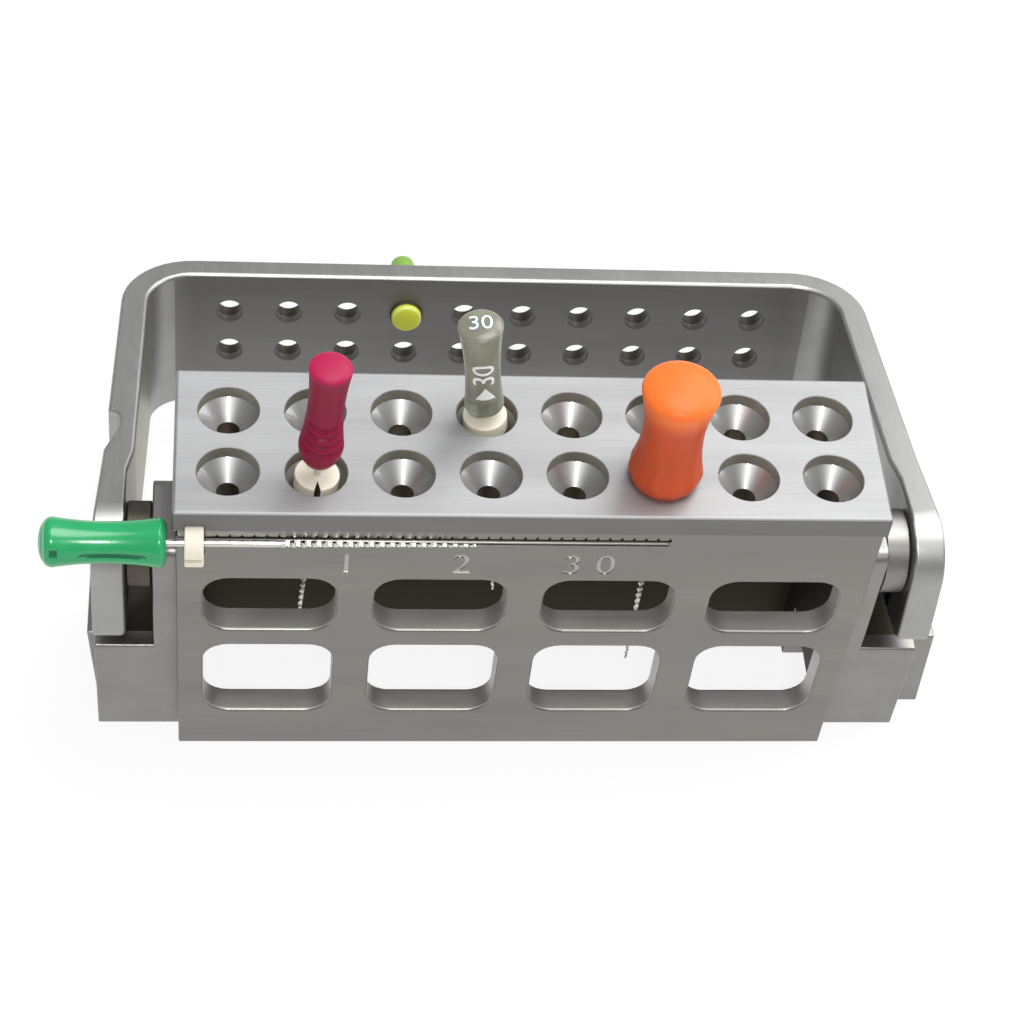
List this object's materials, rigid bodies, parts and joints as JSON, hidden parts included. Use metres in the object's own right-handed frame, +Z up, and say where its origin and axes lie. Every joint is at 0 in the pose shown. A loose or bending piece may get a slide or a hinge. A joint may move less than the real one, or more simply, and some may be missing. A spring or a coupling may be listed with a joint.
{
  "type": "endodontic file holder",
  "caption": "Windowed metal block with countersunk file holes, an engraved ruler and a perforated swing-up cover on end brackets, holding colour-coded hand files.",
  "frame": {"origin": "on the block's bottom face, under the middle of the front wall's length and thickness", "axes": "+X along the block to its right end, +Y from the front to the back, +Z up"},
  "size_m": [0.0791, 0.049, 0.0452],
  "materials": {
    "plate_metal": "satin, fine horizontal brushing",
    "block_metal": "satin, fine horizontal brushing",
    "bracket_metal": "satin",
    "bush_metal": "turned",
    "screw_metal": "turned",
    "cover_metal": "satin, brushed along the arms",
    "file_steel": "bright ground steel",
    "stop_rubber": "matt silicone",
    "peg_plastic": "satin, yellow-green",
    "crimson_plastic": "satin",
    "clear_plastic": "translucent",
    "orange_plastic": "satin",
    "green_plastic": "glossy"
  },
  "bodies": {
    "block": {"hole_plate": "plate_metal", "block_body": "block_metal", "left_bracket": "bracket_metal", "right_bracket": "bracket_metal", "left_pivot_bush": "bush_metal", "right_pivot_bush": "bush_metal", "left_pivot_screw": "screw_metal", "right_pivot_screw": "screw_metal", "left_foot_screw": "screw_metal", "right_foot_screw": "screw_metal"},
    "cover": {"swing_cover": "cover_metal"},
    "marker": {"marker_peg": "peg_plastic"},
    "crimson_file": {"crimson_file_handle": "crimson_plastic", "crimson_file_shaft": "file_steel", "crimson_file_stop": "stop_rubber"},
    "clear_file": {"clear_file_handle": "clear_plastic", "clear_file_shaft": "file_steel", "clear_file_stop": "stop_rubber"},
    "orange_file": {"orange_file_handle": "orange_plastic", "orange_file_shaft": "file_steel", "orange_file_stop": "stop_rubber"},
    "green_file": {"green_file_handle": "green_plastic", "green_file_shaft": "file_steel", "green_file_stop": "stop_rubber"}
  },
  "joints": [
    {"name": "cover_hinge", "type": "hinge", "parent": "block", "child": "cover", "pos_m": [0, 0.00475, 0.0208], "axis": [1, 0, 0], "range_deg": [0, 97.5]},
    {"name": "marker_pull", "type": "slide", "parent": "cover", "child": "marker", "axis": [0, -0.9863, 0.165], "range_m": [0, 0.012]},
    {"name": "crimson_lift", "type": "slide", "parent": "block", "child": "crimson_file", "axis": [0.0523, 0, 0.9986], "range_m": [0, 0.007]},
    {"name": "clear_lift", "type": "slide", "parent": "block", "child": "clear_file", "axis": [-0.1132, 0, 0.9936], "range_m": [0, 0.007]},
    {"name": "orange_lift", "type": "slide", "parent": "block", "child": "orange_file", "axis": [0, 0, 1], "range_m": [0, 0.007]},
    {"name": "green_pull", "type": "slide", "parent": "block", "child": "green_file", "axis": [0, -1, 0], "range_m": [0, 0.02]}
  ]
}
